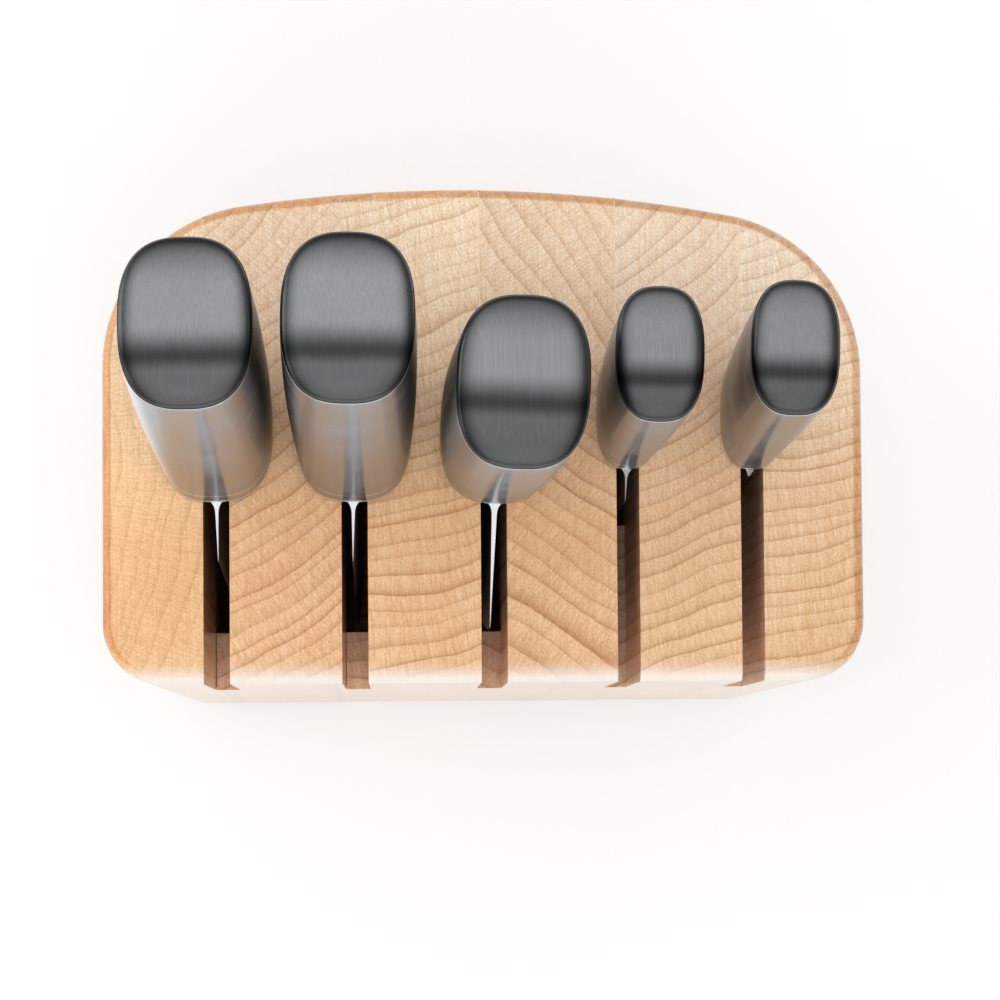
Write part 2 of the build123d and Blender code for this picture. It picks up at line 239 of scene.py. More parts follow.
# %% Handle shells
handle_pieces = {}
for name in KNIFE_NAMES:
    piece = make_handle(name)
    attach(piece, f"{name}_knife")
    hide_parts(f"{name}_handle")
    handle_pieces[name] = piece
print("handles", [len(piece.data.polygons) for piece in handle_pieces.values()])

# %% [markdown]
# ## Bolsters
# A thin polished bead closes the lower end of each handle. It stands a hair proud of the shell, so it
# catches the light as a fine bright line round the shoulder. Only the bead shows, so the plug inside the
# handle is left as a plain step.

# %% Bolster beads
BEAD = 0.22
BEAD_ROWS = 17
PLUG = 7.2
PLUG_PLAY = 0.1
POLE = 0.01


def make_bolster(name):
    """Rings from the middle of the underside, round a half circle of bead, and up the hidden plug."""
    width, depth = HANDLES[name]["shoulder"]
    bend = np.linspace(-np.pi / 2, np.pi / 2, BEAD_ROWS)
    plug = -WALL - PLUG_PLAY
    out = np.concatenate([[-width / 2 + POLE, -width / 4], BEAD * (np.cos(bend) - 0.5), [plug, plug]])
    heights = np.concatenate([[0.0, 0.0], FLANGE / 2 * (1 + np.sin(bend)), [FLANGE, PLUG]])
    rings = oval_ring(width + 2 * out, depth + 2 * out, heights)
    return ringed_piece(f"{name}_bolster_bead", in_world(name, rings))


bolster_pieces = {}
for name in KNIFE_NAMES:
    piece = make_bolster(name)
    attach(piece, f"{name}_knife")
    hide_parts(f"{name}_bolster")
    bolster_pieces[name] = piece
print("bolsters", [len(piece.data.polygons) for piece in bolster_pieces.values()])

# %% [markdown]
# ## End caps
# A dark brushed plate closes each handle inside its bright rim. It is crowned: nearly flat in the middle,
# and rounded over towards its edge, so that it dips to a fine groove against the rim. Its rings shrink
# from the edge to a pole in the middle.

# %% End caps
CAP_GAP = 0.03
CAP_FALL = 2.1
CAP_ROWS = 60


def make_cap(name):
    """Side wall, then rings that shrink to the middle. The crown falls as one minus the cube root of
    one minus the cube of the way out: nearly flat in the middle, and steeper and steeper to the edge."""
    handle = HANDLES[name]
    top = handle["length"]
    width, depth = handle_size(handle, top)
    width, depth = width - 2 * (RIM + CAP_GAP), depth - 2 * (RIM + CAP_GAP)
    out = np.concatenate([[1.0], np.sin(np.linspace(np.pi / 2, 0, CAP_ROWS))])
    fall = CAP_FALL * (1 - np.cbrt(1 - out**3))
    heights = top + CAP_CROWN - fall
    heights[0] = top - CAP_SEAT
    rings = oval_ring(width * out, depth * out, heights)
    piece = ringed_piece(f"{name}_cap_plate", in_world(name, rings))
    local = local_corners(piece, name)
    write_uv(piece, local[:, 0] / width + 0.5, local[:, 1] / depth + 0.5)
    return piece


cap_pieces = {}
for name in KNIFE_NAMES:
    piece = make_cap(name)
    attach(piece, f"{name}_knife")
    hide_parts(f"{name}_end_cap")
    cap_pieces[name] = piece
print("caps", [len(piece.data.polygons) for piece in cap_pieces.values()])

# %% [markdown]
# ## Blades
# Each blade is ground from a thick spine to a thin edge and thins towards its tip as well. The rows run
# from the tang, which is hidden in the handle, down the neck and along the blade. The edge and the spine
# close in on the tip by a power of the way along it: a high power keeps a line straight until late. The
# bread knife's edge is scalloped, which is one more wave on the same line.

# %% Blade sizes
EDGE_THICKNESS = 0.04
TIP_THICKNESS = 0.8
TIP_WIDTH = 1.0
NECK_INSET = 0.4
NECK_CURVE = 1.6
TANG_WIDTH = 10.0
BEVEL_WIDTH = 1.6
BEVEL_SHARE = 0.4
BEVEL_THICKNESS = 0.45
NECK_BEVEL = 0.2
EASED_CORNER = 0.25
EASED_SHARE = 0.2
FLARE = 2.6
FLARE_WIDTH = 1.7
SCALLOP_PITCH = 7.5
SCALLOP_RADIUS = 5.0
SCALLOP_DEPTH = 1.0
BLADE_ROWS = 420
NECK_ROWS = 25
TIP_CROWDING = 1.3
SHARP_ANGLE = 9
LARGE_BLANK = dict(thickness=2.2, neck=2.4, heel=5.0, tang=70.0)
SMALL_BLANK = dict(thickness=1.8, neck=2.0, heel=4.0, tang=55.0)
BLADES = {
    "bread": dict(LARGE_BLANK, length=190.0, reach=11.6, inset=6.6, drop=24.0, edge_power=14.0,
                  spine_power=8.0),
    "carving": dict(LARGE_BLANK, length=200.0, reach=11.5, inset=7.5, drop=12.0, edge_power=5.0,
                    spine_power=3.0),
    "chef": dict(LARGE_BLANK, length=155.0, reach=25.4, inset=5.5, drop=9.0, edge_power=2.2, spine_power=3.0),
    "utility": dict(SMALL_BLANK, length=125.0, reach=6.4, inset=4.4, drop=8.0, edge_power=3.5,
                    spine_power=3.0),
    "paring": dict(SMALL_BLANK, length=90.0, reach=1.0, inset=5.0, drop=9.0, edge_power=3.0, spine_power=3.0),
}

# %% [markdown]
# A blade has three stretches of rows: the tang, the neck and the ground part. Each gives the depth below
# the shoulder, the places of edge and spine, and the thickness at spine, bevel and edge.

# %% Ground blades


def scallops(depth, first, last):
    """Bites of a round cutter along the edge: how far each depth is cut back."""
    count = int((last - first) / SCALLOP_PITCH)
    step = np.round((depth - first) / SCALLOP_PITCH)
    offset = depth - first - step * SCALLOP_PITCH
    bite = SCALLOP_DEPTH - SCALLOP_RADIUS + np.sqrt(np.clip(SCALLOP_RADIUS**2 - offset**2, 0, None))
    return np.where((step >= 0) & (step < count), np.clip(bite, 0, None), 0)


def tang_rows(blade):
    """Two rows of the flat bar that is hidden in the handle."""
    pair = np.ones(2)
    thick = blade["thickness"] * pair
    return dict(depth=np.array([-blade["tang"], 0.0]), front=-TANG_WIDTH / 2 * pair,
                back=TANG_WIDTH / 2 * pair, thick=thick, bevel=BEVEL_WIDTH * pair, bevel_thick=thick,
                edge_thick=thick)


def neck_rows(blade, spine, edge, neck_front):
    """The front runs out from the handle to the heel, and flares in thickness where it leaves the handle."""
    way = np.linspace(0, 1, NECK_ROWS + 1)[:-1] ** NECK_CURVE
    front = neck_front + (edge - neck_front) * way
    taper = EDGE_THICKNESS + (blade["thickness"] - EDGE_THICKNESS) * (front - edge) / (spine - edge)
    ahead = np.clip(1 - (neck_front - front) / FLARE, 0, 1)
    edge_thick = taper + 2 * FLARE_WIDTH * (1 - np.sqrt(1 - ahead**2))
    return dict(depth=way * blade["heel"], front=front, back=np.full_like(way, spine),
                thick=blade["neck"] + (blade["thickness"] - blade["neck"]) * way,
                bevel=np.full_like(way, BEVEL_WIDTH), bevel_thick=edge_thick + NECK_BEVEL,
                edge_thick=edge_thick)


def ground_rows(blade, spine, edge):
    """Edge and spine close in on the tip, and the rows crowd towards it."""
    share = 1 - (1 - np.linspace(0, 1, BLADE_ROWS)) ** TIP_CROWDING
    tip = spine - blade["drop"]
    return dict(
        depth=blade["heel"] + (blade["length"] - blade["heel"]) * share,
        front=edge + (tip - TIP_WIDTH / 2 - edge) * share ** blade["edge_power"],
        back=spine - (blade["drop"] - TIP_WIDTH / 2) * share ** blade["spine_power"],
        thick=blade["thickness"] + (TIP_THICKNESS - blade["thickness"]) * share,
        edge_thick=np.full_like(share, EDGE_THICKNESS),
    )


def make_blade(name):
    """Rows of an eight-sided section: spine with eased corners, ground flats, edge bevel and edge."""
    blade = BLADES[name]
    shoulder = HANDLES[name]["shoulder"][1]
    spine = shoulder / 2 - blade["inset"]
    edge = -shoulder / 2 - blade["reach"]
    ground = ground_rows(blade, spine, edge)
    if name == "bread":
        first, last = blade["heel"] + SCALLOP_PITCH, blade["length"] - shoulder
        ground["front"] = ground["front"] + scallops(ground["depth"], first, last)
    ground["bevel"] = np.minimum(BEVEL_WIDTH, (ground["back"] - ground["front"]) * BEVEL_SHARE)
    ground["bevel_thick"] = np.minimum(BEVEL_THICKNESS, ground["thick"])
    stretches = (tang_rows(blade), neck_rows(blade, spine, edge, -shoulder / 2 + NECK_INSET), ground)
    rows = {key: np.concatenate([stretch[key] for stretch in stretches]) for key in ground}
    corner = np.minimum(EASED_CORNER, rows["thick"] * EASED_SHARE)
    half, bevel_half, edge_half = (rows[key] / 2 for key in ("thick", "bevel_thick", "edge_thick"))
    right = [half - corner, half, bevel_half, edge_half]
    x = np.stack(right + [-column for column in right[::-1]], axis=1)
    down = [rows["back"], rows["back"] - corner, rows["front"] + rows["bevel"], rows["front"]]
    y = np.stack(down + down[::-1], axis=1)
    z = np.repeat(-rows["depth"][:, None], x.shape[1], axis=1)
    piece = ringed_piece(f"{name}_ground_blade", in_world(name, np.stack([x, y, z], axis=-1)))
    piece.data.set_sharp_from_angle(angle=np.radians(SHARP_ANGLE))
    return piece


blade_pieces = {}
for name in KNIFE_NAMES:
    piece = make_blade(name)
    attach(piece, f"{name}_knife")
    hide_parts(f"{name}_blade")
    blade_pieces[name] = piece
print("blades", [len(piece.data.polygons) for piece in blade_pieces.values()])

# %% [markdown]
# ## Node helpers
# A material is a small graph. These helpers keep its code short. The first adds a node with its settings
# and inputs, which may be numbers or the sockets of other nodes, and the others build on it: arithmetic,
# smooth steps, noise, mixed colours, and the start of a group or a material.

# %% Node helpers


def add(tree, kind, inputs=None, **settings):
    """A node of a kind, with its settings, and with each input linked or set to a number."""
    node = tree.nodes.new(kind)
    for key, value in settings.items():
        setattr(node, key, value)
    for key, value in (inputs or {}).items():
        if isinstance(value, bpy.types.NodeSocket):
            tree.links.new(value, node.inputs[key])
        else:
            node.inputs[key].default_value = value
    return node


def math(tree, operation, first, second=0.0, third=0.0):
    """The output of a Math node."""
    return add(tree, "ShaderNodeMath", {0: first, 1: second, 2: third}, operation=operation).outputs[0]


def product(tree, first, *others):
    """The product of several values."""
    for other in others:
        first = math(tree, "MULTIPLY", first, other)
    return first


def vector(tree, operation, first, second=(0.0, 0.0, 0.0)):
    """The vector output of a Vector Math node."""
    return add(tree, "ShaderNodeVectorMath", {0: first, 1: second}, operation=operation).outputs[0]


def split(tree, place):
    """The x, y and z of a vector."""
    return add(tree, "ShaderNodeSeparateXYZ", {0: place}).outputs


def join(tree, x, y=0.0, z=0.0):
    """A vector, or a colour, from three values."""
    return add(tree, "ShaderNodeCombineXYZ", {0: x, 1: y, 2: z}).outputs[0]


def smooth(tree, value, low, high, to_low=0.0, to_high=1.0):
    """A smooth step of a value from one range to another."""
    inputs = {"Value": value, "From Min": low, "From Max": high, "To Min": to_low, "To Max": to_high}
    return add(tree, "ShaderNodeMapRange", inputs, interpolation_type="SMOOTHSTEP").outputs[0]


def noise(tree, place, scale, detail=2.0, roughness=0.5):
    """The value of a Noise texture at a place, which is in millimetres."""
    inputs = {"Vector": place, "Scale": scale, "Detail": detail, "Roughness": roughness}
    return add(tree, "ShaderNodeTexNoise", inputs).outputs[0]


def blend_color(tree, share, first, second, mode="MIX"):
    """The colour output of a Mix node."""
    inputs = {0: share, 6: first, 7: second}
    return add(tree, "ShaderNodeMix", inputs, data_type="RGBA", blend_type=mode).outputs[2]


def new_group(name, inputs, outputs):
    """An empty node group with named sockets, its input node and its output node."""
    group = bpy.data.node_groups.new(name, "ShaderNodeTree")
    for label, kind in inputs:
        group.interface.new_socket(label, in_out="INPUT", socket_type=kind)
    for label, kind in outputs:
        group.interface.new_socket(label, in_out="OUTPUT", socket_type=kind)
    return group, group.nodes.new("NodeGroupInput"), group.nodes.new("NodeGroupOutput")


def new_material(name, **constants):
    """A material with its Principled shader, whose plain values are set on its own sockets."""
    material = bpy.data.materials.new(name)
    material.use_nodes = True
    tree = material.node_tree
    shader = tree.nodes["Principled BSDF"]
    for key, value in constants.items():
        shader.inputs[key.replace("_", " ")].default_value = value
    return material, tree, shader


def place_in_mm(tree):
    """Object coordinates in millimetres."""
    return vector(tree, "MULTIPLY", add(tree, "ShaderNodeTexCoord").outputs["Object"], [1 / MM] * 3)


def place_in_uv(tree):
    """U and V on the piece's own map."""
    return split(tree, add(tree, "ShaderNodeTexCoord").outputs["UV"])[:2]


def facing(tree, kind="Normal"):
    """The x, y and z of the direction that the surface faces."""
    return split(tree, add(tree, "ShaderNodeNewGeometry").outputs[kind])


def emboss(tree, shader, height, strength, distance):
    """A bump from a height, on the shader's normal."""
    bump = add(tree, "ShaderNodeBump", {"Height": height, "Strength": strength, "Distance": distance})
    tree.links.new(bump.outputs[0], shader.inputs["Normal"])


def dress(piece, material):
    """Gives a piece one material."""
    piece.data.materials.clear()
    piece.data.materials.append(material)


# %% [markdown]
# ## Beech
# Wood is a solid, so its figure is worked out in three dimensions and every face cuts through the same
# log. Growth rings are cylinders round a pith that lies outside the stave, so the top shows arcs and the
# sides show upright lines. Rays are thin flecks that run outwards from the pith, and pores and fibres run
# along Z. Fine sanding marks run from front to back. One group makes the figure, and each stave brings
# its own pith and tint. Every layer is noise with a stretch along x, y and z, a scale, a detail and a
# roughness.

# %% The beech group
FRONT = cad_box[0][1] / MM
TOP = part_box("stave_1")[1][2] / MM
WOOD_LAYERS = {
    "bend": ((1.0, 1.0, 0.06), 0.03, 1.0, 0.5),
    "ripple": ((1.0, 1.0, 0.05), 0.22, 3.0, 0.5),
    "fibres": ((1.0, 1.0, 0.012), 1.9, 3.0, 0.65),
    "pores": ((1.0, 1.0, 0.05), 2.6, 3.0, 0.75),
    "sanding": ((3.4, 0.09, 0.02), 1.0, 2.0, 0.6),
    "cloud": ((1.0, 1.0, 0.12), 0.03, 2.0, 0.5),
}
RING_BEND, RING_RIPPLE = 11.0, 0.9
SEASON_SCALE, SEASON_SPREAD = 0.13, 6.0
LATE_LINE = dict(power=6.0, share=0.80)
LATE_SHADE = dict(power=1.8, share=0.24)
RING_LEAST, RING_SPREAD = 0.45, 0.65
ARC_RADIUS = 100.0
RAY_STRETCH = (4.6, 0.26, 0.42)
RAY_SHARE = 0.20
EARLY_WOOD = ((0.775, 0.435, 0.215, 1), (0.845, 0.51, 0.27, 1))
# the pale tone of a painted sheen, laid on the back of the top
SHEEN_WOOD = (0.985, 0.785, 0.57, 1)
LATE_WOOD = (0.39, 0.125, 0.016, 1)
RAY_WOOD = (0.53, 0.245, 0.085, 1)


def beech_group():
    """Rings: distance from the pith, bent by slow noise, in ring widths; the late wood darkens as a power
    of the way through a ring and stops at once where the next one starts."""
    group, source, result = new_group(
        "beech_figure",
        [("Place", "NodeSocketVector"), ("Pith", "NodeSocketVector"), ("Ring Width", "NodeSocketFloat"),
         ("Ring Depth", "NodeSocketFloat"), ("Tint", "NodeSocketColor")],
        [("Color", "NodeSocketColor"), ("Roughness", "NodeSocketFloat"), ("Height", "NodeSocketFloat")],
    )
    place = source.outputs["Place"]
    _, behind, height = split(group, place)
    layers = {}
    for layer, (stretch, *settings) in WOOD_LAYERS.items():
        layers[layer] = noise(group, vector(group, "MULTIPLY", place, stretch), *settings)

    # growth rings
    from_pith = vector(group, "SUBTRACT", place, source.outputs["Pith"])
    flat = vector(group, "MULTIPLY", from_pith, (1.0, 1.0, 0.0))
    radius = add(group, "ShaderNodeVectorMath", {0: flat}, operation="LENGTH").outputs["Value"]
    bent = math(group, "MULTIPLY_ADD", layers["bend"], RING_BEND, radius)
    bent = math(group, "MULTIPLY_ADD", layers["ripple"], RING_RIPPLE, bent)
    season = noise(group, join(group, bent), SEASON_SCALE, 1.0)
    bent = math(group, "MULTIPLY_ADD", season, SEASON_SPREAD, bent)
    rings = math(group, "DIVIDE", bent, source.outputs["Ring Width"])
    through = math(group, "FRACT", rings)
    number = math(group, "FLOOR", rings)
    chance = add(group, "ShaderNodeTexWhiteNoise", {"W": number}, noise_dimensions="1D").outputs["Value"]
    late = math(group, "MULTIPLY", math(group, "POWER", through, LATE_LINE["power"]), LATE_LINE["share"])
    shade = math(group, "POWER", through, LATE_SHADE["power"])
    late = math(group, "MULTIPLY_ADD", shade, LATE_SHADE["share"], late)
    # the late wood is painted weaker towards the back, under the painted sheen
    late = product(group, late, smooth(group, through, 1.0, 0.95),
                   math(group, "MULTIPLY_ADD", chance, RING_SPREAD, RING_LEAST),
                   source.outputs["Ring Depth"], smooth(group, behind, -15.0, 40.0, 1.0, 0.62))

    # rays
    x, y, z = split(group, from_pith)
    arc = math(group, "MULTIPLY", math(group, "ARCTAN2", y, x), ARC_RADIUS)
    ray_place = [math(group, "MULTIPLY", *pair) for pair in zip((arc, radius, z), RAY_STRETCH)]
    ray_noise = noise(group, join(group, *ray_place), 1.0, 2.0, 0.6)
    rays = smooth(group, ray_noise, 0.58, 0.74)

    # colour: early wood, a painted sheen of the light behind the block that pales the back of the top, then
    # late wood and rays
    color = blend_color(group, smooth(group, layers["cloud"], 0.3, 0.7), *EARLY_WOOD)
    painted_sheen = product(group, smooth(group, behind, -25.0, 45.0, 0.0, 0.72),
                   smooth(group, height, TOP - 7.0, TOP - 1.0))
    color = blend_color(group, painted_sheen, color, SHEEN_WOOD)
    color = blend_color(group, late, color, LATE_WOOD)
    color = blend_color(group, math(group, "MULTIPLY", rays, RAY_SHARE), color, RAY_WOOD)

    # fine tones, stronger in blue than in red, as in wood
    tone = product(group, smooth(group, layers["fibres"], 0.25, 0.75, 0.90, 1.09),
                   smooth(group, ray_noise, 0.25, 0.7, 1.11, 0.89),
                   smooth(group, layers["pores"], 0.3, 0.7, 0.83, 1.16),
                   smooth(group, layers["sanding"], 0.3, 0.7, 0.92, 1.08))
    warm = join(group, math(group, "POWER", tone, 0.6), tone, math(group, "POWER", tone, 1.6))
    color = blend_color(group, 1.0, color, warm, "MULTIPLY")
    color = blend_color(group, 1.0, color, source.outputs["Tint"], "MULTIPLY")
    relief = math(group, "MULTIPLY_ADD", layers["pores"], 0.6, math(group, "MULTIPLY", late, -0.5))
    group.links.new(color, result.inputs["Color"])
    group.links.new(smooth(group, layers["pores"], 0.3, 0.7, 0.42, 0.56), result.inputs["Roughness"])
    group.links.new(relief, result.inputs["Height"])
    return group


beech = beech_group()
print("beech group", len(beech.nodes), "nodes")

# %% [markdown]
# The rounded upper edge of the block is a little darker and more orange: partly its own colour, where it was
# sanded across the fibres and took more lacquer, and partly painted shade where the round-over turns from the
# light, so the painted tone is weaker where it faces right and is left off at the front. The direction that the
# surface faces finds it: straight up on the top, level on the sides, and in between on the round-over. The
# front edge is painted pale, a painted highlight of the light on its round-over. The end grain on top keeps a
# thinner coat of lacquer than the walls, and the walls and ledges in the slots have almost none. Inside the
# slots the raw wood is painted lighter towards the open front and darker towards the back and on the ledges:
# painted light and shade.

# %% Stave finishes
EDGE_GRAIN_AND_SHADE_TONE = (0.82, 0.56, 0.36, 1)
FRONT_HIGHLIGHT_TONE = (0.86, 0.82, 0.77, 1)
FRONT_HIGHLIGHT_SHARE = 0.92
TOP_LACQUER = 0.4
SLOT_LACQUER = 0.15
RAW_TONE = (1.0, 1.12, 1.45)
LEDGE_SHADE = 0.76
MOUTH_DEPTH = 60.0
SLOT_BACK = 15.0
SLOT_LIGHT_FADE = 30.0
SKIN = 0.6
STAVES = {
    "stave_1": dict(slot=0.0, lines=92.0, pith=75.0, ring=2.9, depth=0.42, tint=(0.945, 0.98, 0.965)),
    "stave_2": dict(slot=5.2, lines=38.0, pith=150.0, ring=3.3, depth=0.85, tint=(0.915, 0.915, 0.93)),
    "stave_3": dict(slot=5.2, lines=12.0, pith=160.0, ring=3.4, depth=0.85, tint=(0.945, 0.98, 1.0)),
    "stave_4": dict(slot=5.2, lines=-43.0, pith=140.0, ring=4.1, depth=0.88, tint=(0.875, 0.88, 0.89)),
    "stave_5": dict(slot=4.5, lines=25.0, pith=80.0, ring=3.5, depth=0.82, tint=(0.885, 0.935, 1.01)),
    "stave_6": dict(slot=4.5, lines=11.0, pith=130.0, ring=3.3, depth=0.82, tint=(0.90, 0.985, 1.10)),
}


def beech_material(name, stave):
    """Beech for one stave. The pith lies across the direction of the lines on the stave's top."""
    low, high = (np.array(corner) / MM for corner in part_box(name))
    lines = np.radians(stave["lines"])
    pith = (low + high) / 2 + stave["pith"] * np.array([-np.sin(lines), np.cos(lines), 0.0])
    pith[2] = 0.0
    material, tree, shader = new_material(f"{name}_beech", Coat_Roughness=0.14, Specular_IOR_Level=0.18)
    place = place_in_mm(tree)
    figure = add(tree, "ShaderNodeGroup", node_tree=beech)
    values = {"Pith": pith, "Ring Width": stave["ring"], "Ring Depth": stave["depth"],
              "Tint": (*stave["tint"], 1.0)}
    for label, value in values.items():
        figure.inputs[label].default_value = value
    tree.links.new(place, figure.inputs["Place"])
    sideways, backwards, upwards = facing(tree)
    # the round-over's darker tone: partly its own colour, partly painted shade, weaker where it faces right and
    # left off at the front
    edge = product(tree, smooth(tree, upwards, 0.12, 0.5), smooth(tree, upwards, 0.995, 0.93),
                   smooth(tree, backwards, -0.5, -0.05, 0.0, 0.9), smooth(tree, sideways, 0.1, 0.6, 1.0, 0.68))
    color = blend_color(tree, edge, figure.outputs["Color"], EDGE_GRAIN_AND_SHADE_TONE, "MULTIPLY")
    x, y, z = split(tree, place)
    # painted highlight: the front edge and the top of the front face are painted pale
    front_highlight = product(tree, smooth(tree, y, FRONT + 4.8, FRONT - 0.6), smooth(tree, z, TOP - 5.0, TOP - 1.5),
                   FRONT_HIGHLIGHT_SHARE)
    color = blend_color(tree, front_highlight, color, FRONT_HIGHLIGHT_TONE)
    lacquer = smooth(tree, upwards, 0.55, 0.95, 1.0, TOP_LACQUER)
    if stave["slot"]:
        left, front, top = float(low[0]), float(low[1]), float(high[2])
        ahead = math(tree, "GREATER_THAN", y, front + SKIN)
        upper = math(tree, "GREATER_THAN", z, top - MOUTH_DEPTH)
        inside = product(tree, math(tree, "LESS_THAN", x, left + stave["slot"] + 0.05),
                         math(tree, "LESS_THAN", z, top - SKIN), math(tree, "LESS_THAN", y, SLOT_BACK),
                         math(tree, "MAXIMUM", ahead, upper))
        # painted light and shade in the slot: lighter towards the open front, darker towards the back and on
        # upward ledges; the raw wood's own tone follows
        slot_light_and_shade = product(tree, smooth(tree, y, SLOT_BACK - SLOT_LIGHT_FADE, front, 0.9, 1.3),
                        smooth(tree, upwards, 0.5, 0.9, 1.0, LEDGE_SHADE))
        raw_wood_and_slot_light = vector(tree, "MULTIPLY", join(tree, slot_light_and_shade, slot_light_and_shade, slot_light_and_shade), RAW_TONE)
        color = blend_color(tree, inside, color, raw_wood_and_slot_light, "MULTIPLY")
        lacquer = product(tree, lacquer, math(tree, "MULTIPLY_ADD", inside, SLOT_LACQUER - 1.0, 1.0))
    tree.links.new(lacquer, shader.inputs["Coat Weight"])
    tree.links.new(color, shader.inputs["Base Color"])
    tree.links.new(figure.outputs["Roughness"], shader.inputs["Roughness"])
    emboss(tree, shader, figure.outputs["Height"], 0.12, 0.0002)
    return material


for name, stave in STAVES.items():
    dress(nodes[name], beech_material(name, stave))
print("staves dressed", list(STAVES))

# %% [markdown]
# ## Glue
# The five joints between the staves show as thin pale lines. They are solids of their own, so a plain noise
# between two tones is enough, and the short stretch that shows inside a slot is painted dark, as painted shade.

# %% Glue lines
GLUE_TONES = ((0.78, 0.54, 0.33, 1), (0.86, 0.66, 0.46, 1))
SHADED_GLUE = (0.20, 0.10, 0.05, 1)
glue, tree, shader = new_material("cured_glue", Roughness=0.45, Coat_Weight=0.4, Coat_Roughness=0.2)
place = place_in_mm(tree)
glue_color = blend_color(tree, noise(tree, place, 0.4, 3.0), *GLUE_TONES)
_, y, z = split(tree, place)
# painted shade: glue below the top and behind the front face, where it shows inside a slot, is painted dark
hidden = product(tree, math(tree, "LESS_THAN", z, TOP - 1.0), math(tree, "GREATER_THAN", y, FRONT + SKIN))
tree.links.new(blend_color(tree, hidden, glue_color, SHADED_GLUE), shader.inputs["Base Color"])
glue_names = [name for name in nodes if name.startswith("glue_line")]
for name in glue_names:
    dress(nodes[name], glue)
print("glue lines dressed", len(glue_names))

# %% [markdown]
# ## Steel
# Satin steel is a metal whose surface carries fine parallel scratches. One group makes the scratches by
# stretching noise along the brushing, and puts out a roughness, a tone and a height. Handles are brushed
# round their girth, end caps from front to back, and blades across from spine to edge.

# %% Brushed steel group


def brushed_group():
    """Noise stretched by a scale for each axis: short across the scratches, and long along them."""
    group, source, result = new_group(
        "brushed_steel",
        [("Place", "NodeSocketVector"), ("Stretch", "NodeSocketVector"), ("Roughness", "NodeSocketFloat"),
         ("Contrast", "NodeSocketFloat")],
        [("Tone", "NodeSocketFloat"), ("Roughness", "NodeSocketFloat"), ("Height", "NodeSocketFloat")],
    )
    stretched = vector(group, "MULTIPLY", source.outputs["Place"], source.outputs["Stretch"])
    scratches = noise(group, stretched, 1.0, 4.0, 0.7)
    smudges = noise(group, source.outputs["Place"], 0.06, 3.0)
    tone = smooth(group, scratches, 0.3, 0.7, -1.0, 1.0)
    tone = math(group, "MULTIPLY_ADD", tone, source.outputs["Contrast"], 1.0)
    rough = product(group, source.outputs["Roughness"], smooth(group, scratches, 0.3, 0.7, 0.85, 1.18),
                    smooth(group, smudges, 0.3, 0.7, 0.9, 1.12))
    group.links.new(tone, result.inputs["Tone"])
    group.links.new(rough, result.inputs["Roughness"])
    group.links.new(scratches, result.inputs["Height"])
    return group


brushed = brushed_group()
print("brushed group", len(brushed.nodes), "nodes")

# %% [markdown]
# A brushed metal is then a Principled shader with full Metallic, whose colour, roughness and normal come
# from the group. The same function serves handles, bolsters, caps, blades and screws. Handles, caps and
# blades add some paint over its colour.

# %% Plain brushed steel
SCRATCH_DEPTH = 0.00005


def steel_material(name, color, roughness, stretch, bump_strength, contrast=0.1, **constants):
    """A metal with a colour, a roughness and scratches stretched along one of its axes."""
    material, tree, shader = new_material(name, Metallic=1.0, **constants)
    finish = add(tree, "ShaderNodeGroup", node_tree=brushed)
    tree.links.new(place_in_mm(tree), finish.inputs["Place"])
    finish.inputs["Stretch"].default_value = stretch
    finish.inputs["Roughness"].default_value = roughness
    finish.inputs["Contrast"].default_value = contrast
    tone = join(tree, *[finish.outputs["Tone"]] * 3)
    tree.links.new(blend_color(tree, 1.0, (*color, 1.0), tone, "MULTIPLY"), shader.inputs["Base Color"])
    tree.links.new(finish.outputs["Roughness"], shader.inputs["Roughness"])
    emboss(tree, shader, finish.outputs["Height"], bump_strength, SCRATCH_DEPTH)
    return material


def parts_of(material):
    """The tree, the shader and the present colour of a material that gets more paint."""
    tree = material.node_tree
    shader = tree.nodes["Principled BSDF"]
    return tree, shader, shader.inputs["Base Color"].links[0].from_socket


# %% [markdown]
# The end caps are darker than the handles. Across each one, in front of its middle, lies a soft dark band: a
# painted reflection, where its crown turns from the light behind the block to the light in front. A mirror
# would lose it under other light, so it is painted, in the cap's own UV map: U across the handle, V from front
# to back. The darker part in front of the band is painted reflection too, the darker rim is painted shade, and
# the front edge gets a painted lift of light. The small caps are a shade darker than the large ones, and the
# chef's knife stands more upright than the others, so the band on its cap lies further back.

# %% End cap steel
CAP_COLOR = (0.226, 0.229, 0.232)
CAP_SHADES = {
    "large": dict(tone=1.0, band=0.30, side_from=0.68, side_low=0.6, back_low=0.42),
    "small": dict(tone=0.85, band=0.305, side_from=0.55, side_low=0.62, back_low=0.68),
    "chef": dict(tone=0.95, band=0.375, side_from=0.60, side_low=0.55, back_low=0.46),
}
CAP_KINDS = dict(bread="large", carving="large", chef="chef", utility="small", paring="small")
# the band and the part in front of it are a painted reflection
BAND_WIDTH = 0.185
BAND_REFLECTION_TONE = 0.18
BAND_WAVE = 0.02
FRONT_REFLECTION_TONE = 0.28


